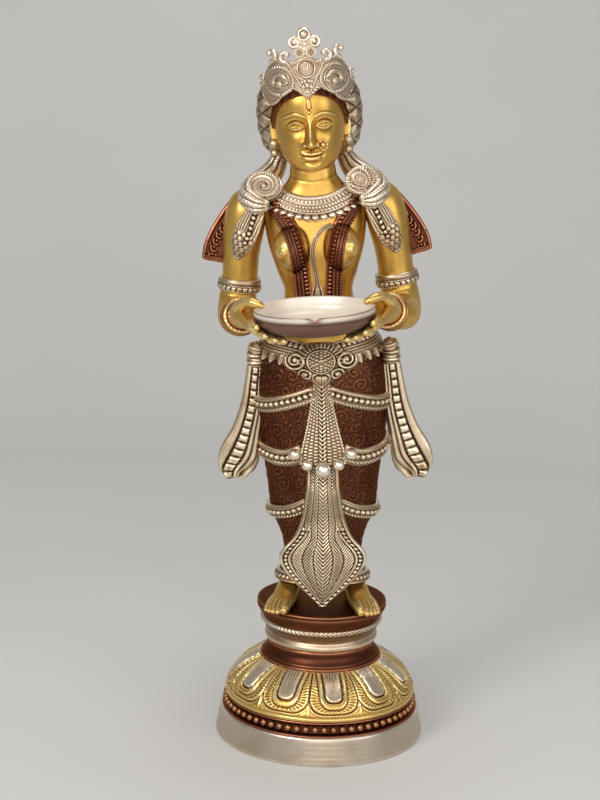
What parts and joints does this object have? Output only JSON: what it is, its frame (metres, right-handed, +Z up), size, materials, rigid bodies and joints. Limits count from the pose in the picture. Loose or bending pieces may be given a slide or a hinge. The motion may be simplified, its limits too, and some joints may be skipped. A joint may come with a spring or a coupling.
{
  "type": "lamp bearer figure",
  "caption": "Cast metal lamp bearer: a draped, crowned standing figure on a round lotus pedestal holds a shallow oil bowl before it in both hands.",
  "frame": {"origin": "centre of the foot's underside, on the surface that the lamp stands on", "axes": "+Z up, the figure faces -Y, +X to the viewer's right seen from the front"},
  "size_m": [0.2196, 0.2542, 0.6741],
  "materials": {
    "gold": "polished gold-coloured brass with brown wear in the recesses",
    "silver": "silver-plated brass with brown patina in the relief",
    "copper": "copper-brown lacquer on brass",
    "steel": "plain steel fasteners"
  },
  "bodies": {
    "figure": {"foot_ring": "silver", "bead_band": "copper", "lotus_dome": "gold", "pedestal_collar": "copper", "lower_neck_ring": "silver", "upper_neck_ring": "silver", "standing_plate": "copper", "tie_rod": "steel", "tie_bar": "steel", "tie_washer": "steel", "tie_nut": "steel", "foot_studs": "steel", "foot_nuts": "steel", "left_foot": "gold", "right_foot": "gold", "dhoti": "copper", "ankle_hem": "silver", "apron": "silver", "centre_pleat": "silver", "pleat_beads": "silver", "left_upper_swag": "silver", "right_upper_swag": "silver", "left_middle_swag": "silver", "right_middle_swag": "silver", "left_knee_band": "silver", "right_knee_band": "silver", "left_sash": "silver", "right_sash": "silver", "left_sash_knot": "silver", "right_sash_knot": "silver", "waist_belt": "silver", "belt_buckle": "silver", "torso": "gold", "left_garland": "copper", "right_garland": "copper", "pendant_cord": "silver", "necklace": "silver", "left_arm": "gold", "right_arm": "gold", "left_armband": "silver", "right_armband": "silver", "left_bangles": "copper", "right_bangles": "copper", "left_hand": "gold", "right_hand": "gold", "left_epaulette": "silver", "right_epaulette": "silver", "left_cape": "copper", "right_cape": "copper", "left_hair_lock": "silver", "right_hair_lock": "silver", "head": "gold", "hair_bun": "silver", "hair_band": "copper", "crown": "silver", "crown_finial": "silver", "left_earring": "silver", "right_earring": "silver", "nose_ring": "gold"},
    "bowl": {"lamp_bowl": "silver"}
  },
  "joints": [
    {"name": "bowl_slide", "type": "slide", "parent": "figure", "child": "bowl", "axis": [0, -1, 0], "range_m": [0, 0.11]}
  ]
}
